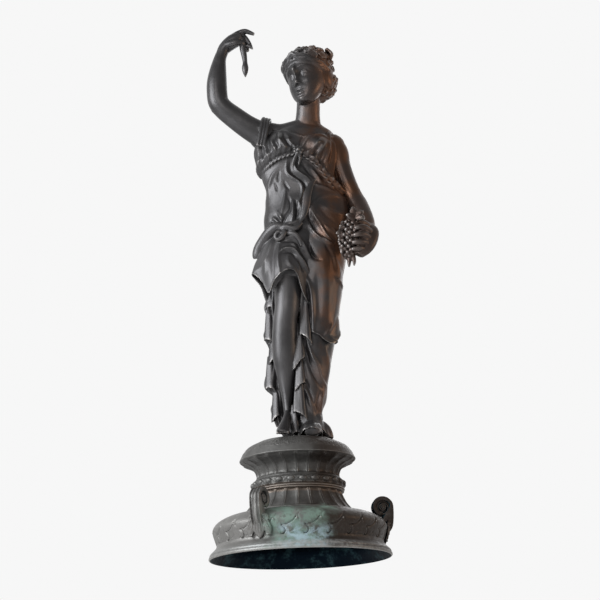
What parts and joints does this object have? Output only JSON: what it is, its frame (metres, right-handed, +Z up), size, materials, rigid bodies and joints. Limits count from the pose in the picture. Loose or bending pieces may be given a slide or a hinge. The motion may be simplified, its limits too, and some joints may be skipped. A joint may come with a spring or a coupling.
{
  "type": "bronze female statue on a socle",
  "caption": "Standing classical woman in a clinging gown, one arm raised with a stem and grapes at her hip, on a hollow round fluted socle with scroll brackets.",
  "frame": {"origin": "on the socle's axis at its foot", "axes": "+Z up; the woman faces -Y and lifts her right arm on the -X side"},
  "size_m": [0.2519, 0.248, 0.7938],
  "materials": {
    "dark_bronze": "dark brown-black patinated cast bronze with a soft gloss",
    "weathered_bronze": "grey weathered cast bronze with green-blue verdigris"
  },
  "bodies": {
    "root": {"figure": "dark_bronze", "socle": "weathered_bronze", "scroll_right": "weathered_bronze", "scroll_front": "weathered_bronze", "scroll_back": "weathered_bronze"}
  },
  "joints": []
}
